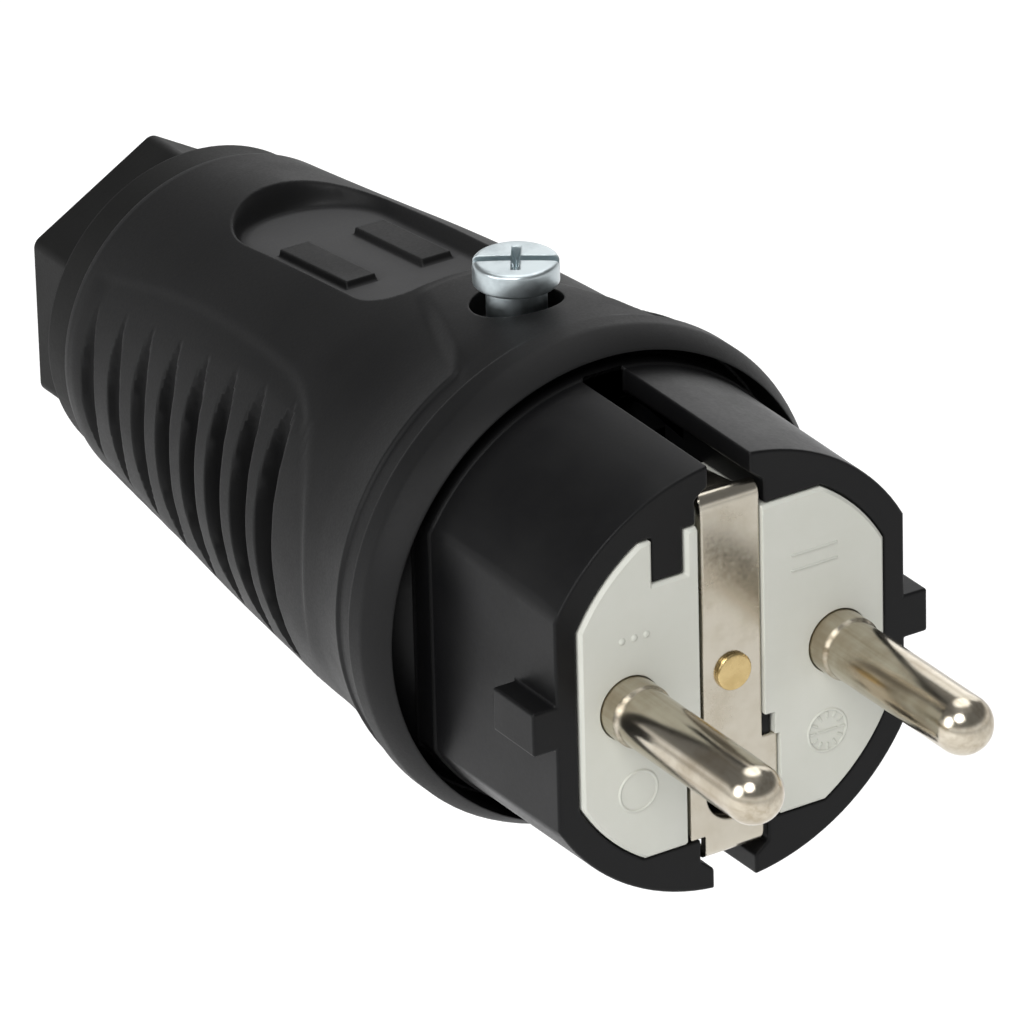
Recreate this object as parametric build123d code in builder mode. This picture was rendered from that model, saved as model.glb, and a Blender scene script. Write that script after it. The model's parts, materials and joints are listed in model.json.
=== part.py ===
# Rewirable two-pin earthed mains plug, in millimetres.
# The origin is the middle of the contact face. Pins point to -Y, the cord leaves to +Y, Z is up.
import os
from build123d import *

os.makedirs("parts", exist_ok=True)

# clearances
slip = 0.1
fit_gap = 0.2
thread_gap = 0.05
end_gap = 0.2
cut_over = 1.0

# pins, to the standard for 16 A round-pin plugs
pin_dia = 4.8
pin_len = 19.0
pin_pitch = 19.0
pin_base_dia = 5.2
pin_base_len = 2.0
pin_flange_dia = 7.6
pin_flange_len = 2.5
terminal_dia = 6.4
terminal_flat = 2.4
terminal_end = 0.4

# terminal screws and the plates under their heads
clamp_screw_dia = 3.0
clamp_head_dia = 5.2
clamp_head_len = 1.9
clamp_head_edge = 0.4
clamp_screw_len = 4.6
clamp_slot_w = 0.9
clamp_slot_deep = 0.9
clamp_plate_t = 0.8
clamp_plate_w = 6.6
clamp_plate_len = 6.6
clamp_lip = 0.7

# earth pin hole, to the same standard
earth_hole_z = -10.0
earth_hole_dia = 5.0

# grey contact carrier
carrier_side = 0.55
carrier_swell = 1.9
carrier_foot = 0.9
carrier_deep = 9.0
carrier_edge = 0.25
key_left = -7.1
key_right = -4.25
key_low = 9.8
relief_w = 1.0
relief_len = 2.0
relief_deep = 3.0

# nose
rim_back = 0.3
nose_side = 1.95
nose_swell = 2.3
nose_draft = 0.2
nose_step = 0.3
nose_flange_y = 20.0
nose_end = 22.5
flat_end = 17.7
lug_h = 2.1
lug_half_h = 1.83
lug_len = 5.65
bulkhead_t = 2.5
skirt_wall = 2.4
slot_half_w = 1.9
slot_wide = 3.1
slot_wide_h = 2.2
slot_slant_h = 0.9
terminal_room = 0.37
barrel_wall = 3.0
barrel_ring = 4.0
rib_half_w = 6.5
window_half_w = 3.6
window_start = 14.0
window_end = 23.5
boss_side = 1.5
boss_wall = 1.3
boss_floor = 1.7

# earth strap, rivet, sleeve and terminal
strap_t = 0.8
strap_back = 0.3
strap_half_w = 2.65
strap_eye = 1.5
strap_eye_top = 1.2
strap_rise = 2.1
strap_bulge = 0.7
strap_bow_y = 2.6
strap_tail_y = 9.5
strap_tail_half_w = 1.6
strap_bend_r = 0.9
rivet_z = 0.2
rivet_head_dia = 3.4
rivet_head_h = 0.7
rivet_dia = 2.5
rivet_tail_dia = 4.2
rivet_tail_h = 0.9
sleeve_wall = 0.65
sleeve_end = 15.5
sleeve_flange_w = 1.4
sleeve_flange_t = 0.8
sleeve_slit = 0.7
sleeve_slit_start = 5.0
bracket_t = 1.2
bracket_half_w = 4.2
bracket_top = 5.6
bracket_tab_half_w = 3.0
bracket_tab_end = 21.5
bracket_eye = 1.6
earth_screw_y = 17.2

# housing screw and its square nut
screw_y = 29.7
screw_dia = 4.9
screw_head_dia = 6.8
screw_head_h = 1.9
screw_head_edge = 0.5
screw_lift = 0.75
screw_past_nut = 0.7
screw_slot_w = 1.2
screw_slot_deep = 0.8
screw_cross_len = 3.8
screw_cross_deep = 1.3
screw_turn = -34.0
screw_clear = 0.25
nut_w = 8.0
nut_t = 4.0
nut_cover = 1.5

# housing: collar, tapered skin and bores
mouth_gap = 0.9
mouth_lead = 0.1
collar_wall = 1.25
lip_len = 2.6
lip_bulge = 0.33
collar_len = 1.8
ridge_groove_w = 2.5
ridge_groove_deep = 0.3
shoulder_len = 4.8
shoulder_drop = 0.73
shoulder_bulge = 0.1
waist_len = 6.9
waist_drop = 1.08
waist_hollow = 0.15
tail_wall = 3.45
tail_y = 75.2
back_bulge = 0.36
cave_r = 12.6
cave_len = 9.8
cable_web_r = 7.0
cable_web_t = 2.0
head_hole_dia = 7.4
head_seat_wall = 2.1

# housing: saddle, label pocket and grips
saddle_deep = 0.4
saddle_front_w = 8.5
saddle_flare = 1.0
saddle_len = 6.8
saddle_back_w = 4.2
saddle_tip_w = 3.4
saddle_tip_len = 2.1
pocket_lead = 1.0
pocket_deep = 2.5
pocket_half_w = 6.4
pocket_end = 10.0
pocket_corner = 3.0
pocket_taper = 18.0
pocket_round = 0.7
tablet_half_w = 1.38
tablet_x = 3.5
tablet_lead = 7.3
tablet_len = 10.1
tablet_h = 0.45
panel_end = 2.2
panel_back_h = 12.0
panel_front_y = 43.0
panel_front_h = 13.5
panel_side_len = 7.7
panel_side_h = 10.6
panel_tip_len = 11.5
panel_round_r = 20.8
panel_sunk = 1.44
groove_count = 8
groove_lead = 3.5
groove_pitch = 4.55
groove_r = 1.15
groove_back_deep = 1.07
groove_front_deep = 3.35

# cable gland
gland_bore_r = 11.5
gland_room = 0.7
flange_r = 14.05
flange_len = 3.2
hex_corner_r = 13.15
hex_corner_round = 1.0
hex_len = 6.7
hex_edge = 0.4
cable_bore_dia = 12.6
cable_flare = 2.2
washer_t = 1.2
washer_room = 0.5
collet_len = 6.8
collet_taper = 1.8
collet_base = 2.2
collet_bore_r = 6.0
collet_slits = 6
collet_slit_w = 1.2
seal_len = 8.0
seal_bore_r = 5.6
seal_ribs = 3
seal_rib = 0.5
seal_rib_pitch = 2.0

# carrier and nose, built out from the pins
pin_x = pin_pitch / 2
carrier_half_w = pin_x + pin_flange_dia / 2 + carrier_side
carrier_half_h = earth_hole_dia / 2 - earth_hole_z + carrier_foot
carrier_r = carrier_half_w + carrier_swell
flat_half_w = carrier_half_w + slip + nose_side
nose_r_front = flat_half_w + nose_swell
nose_r_back = nose_r_front + nose_draft
nose_step_r = nose_r_back + nose_step
lug_half_w = flat_half_w + lug_h
slot_end = flat_end
slot_floor = carrier_half_h - slip
slot_shoulder = slot_floor + slot_wide_h
slot_neck = slot_shoulder + slot_slant_h
bulkhead_front = carrier_deep
bulkhead_back = bulkhead_front + bulkhead_t

# earth parts
strap_front_y = strap_back
strap_rear_y = strap_back + strap_t
strap_top = slot_floor + strap_rise
strap_bow = strap_top + strap_bulge
strap_wide = earth_hole_dia / 2 + strap_eye
strap_wide_top = earth_hole_z + earth_hole_dia / 2 + strap_eye_top
relief_low = strap_wide_top - slip
relief_high = relief_low + relief_len
sleeve_r = earth_hole_dia / 2 + sleeve_wall
sleeve_flange_r = earth_hole_dia / 2 + sleeve_flange_w

# terminals, and the barrel and bore that clear their screws
clamp_x = pin_x + terminal_flat
clamp_y = nose_end + clamp_head_dia / 2 + fit_gap
clamp_head_x = clamp_x + clamp_plate_t + clamp_head_len
terminal_end_y = clamp_y + clamp_plate_len / 2 + terminal_end
barrel_bore = (clamp_head_x ** 2 + (clamp_head_dia / 2) ** 2) ** 0.5 + terminal_room
barrel_r = barrel_bore - fit_gap

# housing screw, its nut and the block that holds the nut
nut_low = barrel_r - nut_cover - nut_t
boss_low = nut_low - boss_floor
boss_half_w = nut_w / 2 + slip + boss_side
boss_start = screw_y - nut_w / 2 - boss_wall
barrel_end = screw_y + nut_w / 2 + boss_wall
head_hole_floor = barrel_bore + head_seat_wall

# profile of the housing, from the mouth to the tail
mouth_r = nose_step_r + mouth_gap
mouth_y = flat_end - mouth_lead
nose_flange_r = mouth_r - fit_gap
collar_r = mouth_r + collar_wall
lip_top_y = mouth_y + lip_len
ridge_y = lip_top_y + collar_len
ridge_groove_y = ridge_y + ridge_groove_w / 2
skin_r = collar_r
skin_y = ridge_y + ridge_groove_w
shoulder_r = skin_r - shoulder_drop
shoulder_y = skin_y + shoulder_len
waist_r = shoulder_r - waist_drop
waist_y = shoulder_y + waist_len
tail_r = gland_bore_r + tail_wall
taper = (waist_r - tail_r) / (tail_y - waist_y)
cave_y = barrel_end + end_gap
cable_web_y = cave_y + cave_len
screw_seat = skin_r + screw_lift
screw_tip = nut_low - screw_past_nut

# saddle, pocket and grips
saddle_back_y = screw_y + saddle_len
saddle_tip_y = saddle_back_y + saddle_tip_len
pocket_front_y = saddle_tip_y + pocket_lead
pocket_back_y = tail_y - pocket_end
pocket_mid_y = (pocket_front_y + pocket_back_y) / 2
pocket_z = waist_r - pocket_deep - taper * (pocket_mid_y - waist_y)
tablet_y = pocket_front_y + tablet_lead + tablet_len / 2 - pocket_mid_y
panel_back_y = tail_y - panel_end
panel_side_y = panel_front_y - panel_side_len
panel_tip_y = panel_front_y - panel_tip_len
panel_front_x = waist_r - panel_sunk
groove_first_y = panel_back_y - groove_lead

# gland
seal_y = cable_web_y + cable_web_t
collet_y = seal_y + seal_len
washer_y = collet_y + collet_len
thread_y = washer_y + washer_t
nut_thread_r = gland_bore_r - slip
gland_ring_r = gland_bore_r - gland_room
flange_y = tail_y + end_gap
hex_y = flange_y + flange_len
gland_end = hex_y + hex_len


# draws the profile of the tapered skin as three arcs, lowered by the given depth
def skin_line(lower):
    start = (skin_r - lower, skin_y)
    shoulder = (shoulder_r - lower, shoulder_y)
    waist = (waist_r - lower, waist_y)
    SagittaArc(start, shoulder, -shoulder_bulge)
    SagittaArc(shoulder, waist, waist_hollow)
    SagittaArc(waist, (tail_r - lower, tail_y), -back_bulge)


# the body of the housing, lowered by the depth of its saddle
with BuildPart() as core:
    with BuildSketch(Plane.XY):
        with BuildLine():
            skin_line(saddle_deep)
            Polyline((skin_r - saddle_deep, skin_y), (skin_r - saddle_deep, mouth_y), (0, mouth_y),
                     (0, tail_y), (tail_r - saddle_deep, tail_y))
        make_face()
    revolve(axis=Axis.Y)

panel_plane = Plane(origin=(panel_front_x - panel_round_r, panel_front_y, 0), x_dir=(0, 0, 1),
                    z_dir=(-taper, 1, 0))

# the sunk grip panels on both sides
with BuildPart() as panel_cut:
    with BuildSketch(Plane.YZ.offset(barrel_bore / 2)):
        with BuildLine():
            Line((panel_back_y, -panel_back_h), (panel_back_y, panel_back_h))
            Line((panel_back_y, panel_back_h), (panel_front_y, panel_front_h))
            Spline((panel_front_y, panel_front_h), (panel_side_y, panel_side_h), (panel_tip_y, 0),
                   (panel_side_y, -panel_side_h), (panel_front_y, -panel_front_h))
            Line((panel_front_y, -panel_front_h), (panel_back_y, -panel_back_h))
        make_face()
    extrude(amount=collar_r)
    # the panel keeps a flatter round than the body, and leans in with the taper
    with BuildSketch(panel_plane):
        Circle(panel_round_r)
    extrude(amount=tail_y, both=True, mode=Mode.SUBTRACT)
    mirror(about=Plane.YZ)

# the sunk saddle round the housing screw
with BuildPart() as saddle_cut:
    with BuildSketch(Plane.XY.offset(barrel_bore)):
        with BuildLine():
            Polyline((0, ridge_y), (saddle_front_w + saddle_flare, ridge_y), (saddle_front_w, skin_y),
                     (saddle_back_w, saddle_back_y), (saddle_tip_w, saddle_tip_y), (0, saddle_tip_y))
            mirror(about=Plane.YZ)
        make_face()
    extrude(amount=collar_r)
    add(core.part, mode=Mode.SUBTRACT)

pocket_plane = Plane(origin=(0, pocket_mid_y, pocket_z), x_dir=(1, 0, 0), z_dir=(0, taper, 1))

with BuildPart() as housing:
    with BuildSketch(Plane.XY):
        with BuildLine():
            SagittaArc((mouth_r, mouth_y), (collar_r, lip_top_y), -lip_bulge)
            Polyline((collar_r, lip_top_y), (collar_r, ridge_y),
                     (collar_r - ridge_groove_deep, ridge_groove_y), (skin_r, skin_y))
            skin_line(0)
            Polyline((tail_r, tail_y), (0, tail_y), (0, mouth_y), (mouth_r, mouth_y))
        make_face()
    revolve(axis=Axis.Y)
    add(saddle_cut.part, mode=Mode.SUBTRACT)
    add(panel_cut.part, mode=Mode.SUBTRACT)
    # ribbed grips: round-bottomed straight grooves, deeper to the front
    for i in range(groove_count):
        groove_y = groove_first_y - i * groove_pitch
        groove_deep = groove_back_deep + (groove_front_deep - groove_back_deep) * i / (groove_count - 1)
        groove_x = panel_front_x - taper * (groove_y - panel_front_y) - groove_deep + groove_r
        with BuildSketch(Plane.XY.offset(-panel_front_h)):
            with Locations((groove_x, groove_y), (-groove_x, groove_y)):
                Circle(groove_r)
            with Locations((groove_x + collar_r / 2, groove_y), (-groove_x - collar_r / 2, groove_y)):
                Rectangle(collar_r, 2 * groove_r)
        extrude(amount=2 * panel_front_h, mode=Mode.SUBTRACT)
    # label pocket with two plain tablets
    with BuildSketch(pocket_plane):
        Rectangle(2 * pocket_half_w, pocket_back_y - pocket_front_y)
        fillet(vertices().group_by(Axis.Y)[0], radius=pocket_corner)
        fillet(vertices().group_by(Axis.Y)[-1], radius=pocket_half_w - slip)
    extrude(amount=collar_r / 3, taper=-pocket_taper, mode=Mode.SUBTRACT)
    pocket_floor = faces().sort_by_distance(pocket_plane.origin)[0]
    fillet(pocket_floor.edges(), radius=pocket_round)
    with BuildSketch(pocket_plane):
        with Locations((tablet_x, tablet_y), (-tablet_x, tablet_y)):
            Rectangle(2 * tablet_half_w, tablet_len)
    extrude(amount=tablet_h)
    # bores for the nose, its barrel, the wires and the gland
    with BuildSketch(Plane.XY):
        with BuildLine():
            Polyline((0, mouth_y), (mouth_r, mouth_y), (mouth_r, nose_end), (barrel_bore, nose_end),
                     (barrel_bore, cave_y), (cave_r, cave_y), (cable_web_r, cable_web_y),
                     (cable_web_r, seal_y), (gland_bore_r, seal_y),
                     (gland_bore_r, tail_y), (0, tail_y), (0, mouth_y))
        make_face()
    revolve(axis=Axis.Y, mode=Mode.SUBTRACT)
    # screw hole with a seat for the head
    with BuildSketch(Plane.XY.offset(head_hole_floor)):
        with Locations((0, screw_y)):
            Circle(head_hole_dia / 2)
    extrude(amount=collar_r, mode=Mode.SUBTRACT)
    with BuildSketch(Plane.XY):
        with Locations((0, screw_y)):
            Circle(screw_dia / 2 + screw_clear)
    extrude(amount=collar_r, mode=Mode.SUBTRACT)

with BuildPart() as nose:
    with BuildSketch(Plane.XY):
        with BuildLine():
            Polyline((0, rim_back), (nose_r_front, rim_back), (nose_r_back, flat_end), (nose_step_r, flat_end),
                     (nose_step_r, nose_flange_y), (nose_flange_r, nose_flange_y), (nose_flange_r, nose_end),
                     (0, nose_end), (0, rim_back))
        make_face()
    revolve(axis=Axis.Y)
    # side flats, with a small step where the skirt enters the housing
    with BuildSketch(Plane.XZ.offset(-rim_back)):
        with Locations((flat_half_w + nose_r_back, 0), (-flat_half_w - nose_r_back, 0)):
            Rectangle(2 * nose_r_back, 2 * nose_r_back)
    extrude(amount=rim_back - flat_end, mode=Mode.SUBTRACT)
    with BuildSketch(Plane.XZ.offset(-flat_end)):
        with Locations((flat_half_w + nose_step + nose_r_back, 0), (-flat_half_w - nose_step - nose_r_back, 0)):
            Rectangle(2 * nose_r_back, 2 * nose_r_back)
    extrude(amount=flat_end - nose_flange_y, mode=Mode.SUBTRACT)
    # space behind the bulkhead
    with BuildSketch(Plane.XZ.offset(-bulkhead_back)):
        Circle(nose_r_front - skirt_wall)
        Rectangle(2 * (flat_half_w - skirt_wall), 2 * nose_r_back, mode=Mode.INTERSECT)
    extrude(amount=bulkhead_back - nose_end, mode=Mode.SUBTRACT)
    # barrel: two ribs and an end ring
    with BuildSketch(Plane.XZ.offset(-bulkhead_back)):
        Circle(barrel_r)
        Circle(barrel_r - barrel_wall, mode=Mode.SUBTRACT)
        Rectangle(2 * rib_half_w, 2 * barrel_r, mode=Mode.INTERSECT)
    extrude(amount=bulkhead_back - barrel_end)
    with BuildSketch(Plane.XZ.offset(-barrel_end)):
        Circle(barrel_r)
        Circle(barrel_r - barrel_wall, mode=Mode.SUBTRACT)
    extrude(amount=barrel_ring)
    # block for the square nut
    with BuildSketch(Plane.XZ.offset(-boss_start)):
        Circle(barrel_r)
        with Locations((0, boss_low + barrel_r / 2)):
            Rectangle(2 * boss_half_w, barrel_r, mode=Mode.INTERSECT)
    extrude(amount=boss_start - barrel_end)
    with BuildSketch(Plane.XZ.offset(slip - screw_y + nut_w / 2)):
        with Locations((0, nut_low + nut_t / 2)):
            Rectangle(nut_w + 2 * slip, nut_t + 2 * thread_gap)
    extrude(amount=-barrel_end, mode=Mode.SUBTRACT)
    with BuildSketch(Plane.XY):
        with Locations((0, screw_y)):
            Circle(screw_dia / 2 + screw_clear)
    extrude(amount=collar_r, mode=Mode.SUBTRACT)
    # pocket for the carrier, with the key left standing
    with BuildSketch(Plane.XZ.offset(-rim_back)):
        Circle(carrier_r + slip)
        Rectangle(2 * (carrier_half_w + slip), 2 * (carrier_half_h + slip), mode=Mode.INTERSECT)
        with Locations(((key_left + key_right) / 2, key_low + carrier_half_h)):
            Rectangle(key_right - key_left, 2 * carrier_half_h, mode=Mode.SUBTRACT)
    extrude(amount=rim_back - bulkhead_front, mode=Mode.SUBTRACT)
    # earth slots at the top and the bottom, wider below their necks
    with BuildSketch(Plane.XZ.offset(-rim_back)):
        with BuildLine():
            Polyline((0, collar_r), (slot_half_w, collar_r), (slot_half_w, slot_neck),
                     (slot_wide, slot_shoulder), (slot_wide, slot_floor), (0, slot_floor))
            mirror(about=Plane.YZ)
        make_face()
        mirror(about=Plane.XZ)
    extrude(amount=rim_back - slot_end, mode=Mode.SUBTRACT)
    # lugs on the flats
    with BuildSketch(Plane.XZ.offset(-rim_back)):
        with Locations(((flat_half_w + lug_half_w) / 2, 0), (-(flat_half_w + lug_half_w) / 2, 0)):
            Rectangle(lug_half_w - flat_half_w, 2 * lug_half_h)
    extrude(amount=-lug_len)
    # holes for the terminals, the rivet and the earth sleeve
    with BuildSketch(Plane.XZ.offset(-bulkhead_front)):
        with Locations((pin_x, 0), (-pin_x, 0)):
            Circle(terminal_dia / 2 + slip)
        with Locations((0, rivet_z)):
            Circle(rivet_dia / 2 + thread_gap)
        with Locations((0, earth_hole_z)):
            Circle(sleeve_r + fit_gap)
    extrude(amount=-bulkhead_t, mode=Mode.SUBTRACT)
    # window over the earth terminal screw, and one below for the bracket
    with BuildSketch(Plane.XY.offset(barrel_r - barrel_wall - cut_over)):
        with Locations((0, (window_start + window_end) / 2)):
            Rectangle(2 * window_half_w, window_end - window_start)
    extrude(amount=barrel_wall + cut_over, mode=Mode.SUBTRACT)
    with BuildSketch(Plane.XY.offset(-barrel_r)):
        with Locations((0, (bulkhead_back + slot_end) / 2)):
            Rectangle(2 * (sleeve_r + bracket_eye + fit_gap), slot_end - bulkhead_back)
    extrude(amount=barrel_wall * 2, mode=Mode.SUBTRACT)

with BuildPart() as contact_carrier:
    with BuildSketch(Plane.XZ):
        Circle(carrier_r)
        Rectangle(2 * carrier_half_w, 2 * carrier_half_h, mode=Mode.INTERSECT)
        with Locations(((key_left + key_right) / 2, key_low - slip + carrier_half_h)):
            Rectangle(key_right - key_left + 2 * slip, 2 * carrier_half_h, mode=Mode.SUBTRACT)
    extrude(amount=-carrier_deep)
    chamfer(faces().sort_by(Axis.Y)[0].outer_wire().edges(), length=carrier_edge)
    # bed of the strap
    with BuildSketch(Plane.XZ):
        with Locations((0, carrier_half_h + strap_wide_top)):
            Rectangle(2 * (strap_half_w + slip), 2 * carrier_half_h)
        with Locations((0, strap_wide_top - carrier_half_h / 2)):
            Rectangle(2 * (strap_wide + slip), carrier_half_h)
    extrude(amount=-strap_rear_y, mode=Mode.SUBTRACT)
    with BuildSketch(Plane.XZ):
        with Locations((strap_half_w + relief_w / 2, (relief_low + relief_high) / 2),
                       (-strap_half_w - relief_w / 2, (relief_low + relief_high) / 2)):
            Rectangle(relief_w, relief_high - relief_low)
    extrude(amount=-relief_deep, mode=Mode.SUBTRACT)
    # holes for pins, rivet and sleeve
    with BuildSketch(Plane.XZ):
        with Locations((pin_x, 0), (-pin_x, 0)):
            Circle(pin_base_dia / 2 + thread_gap)
        with Locations((0, rivet_z)):
            Circle(rivet_dia / 2 + thread_gap)
        with Locations((0, earth_hole_z)):
            Circle(sleeve_r + thread_gap)
    extrude(amount=-carrier_deep, mode=Mode.SUBTRACT)
    with BuildSketch(Plane.XZ.offset(-carrier_deep)):
        with Locations((pin_x, 0), (-pin_x, 0)):
            Circle(pin_flange_dia / 2 + slip)
    extrude(amount=pin_flange_len, mode=Mode.SUBTRACT)
    with BuildSketch(Plane.XZ.offset(-strap_rear_y)):
        with Locations((0, earth_hole_z)):
            Circle(sleeve_flange_r + slip)
    extrude(amount=-sleeve_flange_t, mode=Mode.SUBTRACT)

with BuildPart() as pin_right:
    with BuildSketch(Plane.XY):
        with BuildLine():
            base_r = pin_base_dia / 2
            CenterArc((0, pin_dia / 2 - pin_len), pin_dia / 2, -90, 90)
            Polyline((pin_dia / 2, pin_dia / 2 - pin_len), (pin_dia / 2, -pin_base_len),
                     (base_r, base_r - pin_dia / 2 - pin_base_len), (base_r, carrier_deep - pin_flange_len),
                     (pin_flange_dia / 2, carrier_deep - pin_flange_len),
                     (pin_flange_dia / 2, carrier_deep), (terminal_dia / 2, carrier_deep),
                     (terminal_dia / 2, terminal_end_y), (0, terminal_end_y),
                     (0, -pin_len))
        make_face()
    revolve(axis=Axis.Y)
    # flat for the wire, and the screw's hole in it
    with BuildSketch(Plane.XZ.offset(-bulkhead_back)):
        with Locations((terminal_flat + terminal_dia, 0)):
            Rectangle(2 * terminal_dia, 2 * terminal_dia)
    extrude(amount=bulkhead_back - terminal_end_y, mode=Mode.SUBTRACT)
    with BuildSketch(Plane.YZ.offset(terminal_flat)):
        with Locations((clamp_y, 0)):
            Circle(clamp_screw_dia / 2 + thread_gap)
    extrude(amount=clamp_plate_t - clamp_screw_len - slip, mode=Mode.SUBTRACT)
pin_right.part = pin_right.part.moved(Location((pin_x, 0, 0)))

with BuildPart() as pin_left:
    add(pin_right.part.mirror(Plane.YZ))

# plate with turned-down lips, on the flat of the right terminal
with BuildPart() as wire_clamp_right:
    with BuildSketch(Plane.YZ.offset(clamp_x)):
        with Locations((clamp_y, 0)):
            Rectangle(clamp_plate_len, clamp_plate_w)
            Circle(clamp_screw_dia / 2 + slip, mode=Mode.SUBTRACT)
    extrude(amount=clamp_plate_t)
    with BuildSketch(Plane.YZ.offset(clamp_x + clamp_plate_t)):
        with Locations((clamp_y, (clamp_plate_w + clamp_lip) / 2), (clamp_y, -(clamp_plate_w + clamp_lip) / 2)):
            Rectangle(clamp_plate_len, clamp_lip)
    extrude(amount=-2 * clamp_plate_t)

with BuildPart() as wire_clamp_left:
    add(wire_clamp_right.part.mirror(Plane.YZ))

with BuildPart() as terminal_screw_right:
    with BuildSketch(Plane.YZ.offset(clamp_x + clamp_plate_t)):
        with Locations((clamp_y, 0)):
            Circle(clamp_head_dia / 2)
    extrude(amount=clamp_head_len)
    chamfer(faces().sort_by(Axis.X)[-1].edges(), length=clamp_head_edge)
    with BuildSketch(Plane.YZ.offset(clamp_x + clamp_plate_t)):
        with Locations((clamp_y, 0)):
            Circle(clamp_screw_dia / 2)
    extrude(amount=-clamp_screw_len)
    with BuildSketch(Plane.YZ.offset(clamp_x + clamp_plate_t + clamp_head_len)):
        with Locations((clamp_y, 0)):
            Rectangle(2 * clamp_head_dia, clamp_slot_w)
    extrude(amount=-clamp_slot_deep, mode=Mode.SUBTRACT)

with BuildPart() as terminal_screw_left:
    add(terminal_screw_right.part.mirror(Plane.YZ))

with BuildPart() as earth_strap:
    # the strip as bent, seen from the side
    with BuildSketch(Plane.YZ):
        with BuildLine():
            mid_y = strap_back + strap_t / 2
            bend_z = strap_top - strap_t / 2
            bow_z = strap_bow - strap_t / 2
            tail_z = slot_floor + strap_t / 2 + thread_gap
            FilletPolyline((strap_tail_y, tail_z), (strap_bow_y, bow_z), (mid_y, bend_z),
                           (mid_y, -bend_z), (strap_bow_y, -bow_z), (strap_tail_y, -tail_z),
                           radius=strap_bend_r)
        trace(line_width=strap_t)
    extrude(amount=strap_half_w, both=True)
    # narrow spring tails in the slots
    with BuildSketch(Plane.XZ.offset(-strap_rear_y - strap_bend_r / 2)):
        with Locations((strap_tail_half_w + strap_half_w, 0), (-strap_tail_half_w - strap_half_w, 0)):
            Rectangle(2 * strap_half_w, 4 * strap_bow)
    extrude(amount=-strap_tail_y, mode=Mode.SUBTRACT)
    # wide plate round the earth pin hole
    with BuildSketch(Plane.XZ.offset(-strap_front_y)):
        with Locations((0, (strap_wide_top - carrier_half_h) / 2)):
            Rectangle(2 * strap_wide, carrier_half_h + strap_wide_top)
    extrude(amount=-strap_t)
    with BuildSketch(Plane.XZ.offset(-strap_front_y)):
        with Locations((0, earth_hole_z)):
            Circle(earth_hole_dia / 2)
        with Locations((0, rivet_z)):
            Circle(rivet_dia / 2 + thread_gap)
    extrude(amount=-strap_t, mode=Mode.SUBTRACT)

with BuildPart() as earth_rivet:
    with BuildSketch(Plane.XY):
        with BuildLine():
            head_y = strap_front_y - rivet_head_h
            tail_front = bulkhead_back + bracket_t
            Polyline((0, head_y), (rivet_head_dia / 2 - rivet_head_h / 2, head_y),
                     (rivet_head_dia / 2, strap_front_y - rivet_head_h / 2), (rivet_head_dia / 2, strap_front_y),
                     (rivet_dia / 2, strap_front_y), (rivet_dia / 2, tail_front), (rivet_tail_dia / 2, tail_front),
                     (rivet_dia / 2, tail_front + rivet_tail_h), (0, tail_front + rivet_tail_h), (0, head_y))
        make_face()
    revolve(axis=Axis.Y)
earth_rivet.part = earth_rivet.part.moved(Location((0, 0, rivet_z)))

with BuildPart() as earth_socket_sleeve:
    with BuildSketch(Plane.XZ.offset(-strap_rear_y)):
        with Locations((0, earth_hole_z)):
            Circle(sleeve_flange_r)
            Circle(earth_hole_dia / 2, mode=Mode.SUBTRACT)
    extrude(amount=-sleeve_flange_t)
    with BuildSketch(Plane.XZ.offset(-strap_rear_y)):
        with Locations((0, earth_hole_z)):
            Circle(sleeve_r)
            Circle(earth_hole_dia / 2, mode=Mode.SUBTRACT)
    extrude(amount=strap_rear_y - sleeve_end)
    with BuildSketch(Plane.XZ.offset(-sleeve_slit_start)):
        with Locations((0, earth_hole_z)):
            Rectangle(sleeve_slit, 4 * sleeve_r)
    extrude(amount=-sleeve_end, mode=Mode.SUBTRACT)

with BuildPart() as earth_terminal:
    with BuildSketch(Plane.XZ.offset(-bulkhead_back)):
        with Locations((0, (bracket_top + earth_hole_z) / 2)):
            Rectangle(2 * bracket_half_w, bracket_top - earth_hole_z)
        with Locations((0, earth_hole_z)):
            Circle(sleeve_r + bracket_eye)
            Circle(sleeve_r, mode=Mode.SUBTRACT)
        with Locations((0, rivet_z)):
            Circle(rivet_dia / 2 + thread_gap, mode=Mode.SUBTRACT)
    extrude(amount=-bracket_t)
    with BuildSketch(Plane.XY.offset(bracket_top)):
        with Locations((0, (bulkhead_back + bracket_tab_end) / 2)):
            Rectangle(2 * bracket_tab_half_w, bracket_tab_end - bulkhead_back)
        with Locations((0, earth_screw_y)):
            Circle(clamp_screw_dia / 2 + thread_gap, mode=Mode.SUBTRACT)
    extrude(amount=-bracket_t)

with BuildPart() as wire_clamp_earth:
    with BuildSketch(Plane.XY.offset(bracket_top)):
        with Locations((0, earth_screw_y)):
            Rectangle(2 * bracket_tab_half_w, clamp_plate_len)
            Circle(clamp_screw_dia / 2 + slip, mode=Mode.SUBTRACT)
    extrude(amount=clamp_plate_t)
    with BuildSketch(Plane.XY.offset(bracket_top + clamp_plate_t)):
        with Locations((bracket_tab_half_w + clamp_lip / 2, earth_screw_y),
                       (-bracket_tab_half_w - clamp_lip / 2, earth_screw_y)):
            Rectangle(clamp_lip, clamp_plate_len)
    extrude(amount=-2 * clamp_plate_t)

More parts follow.
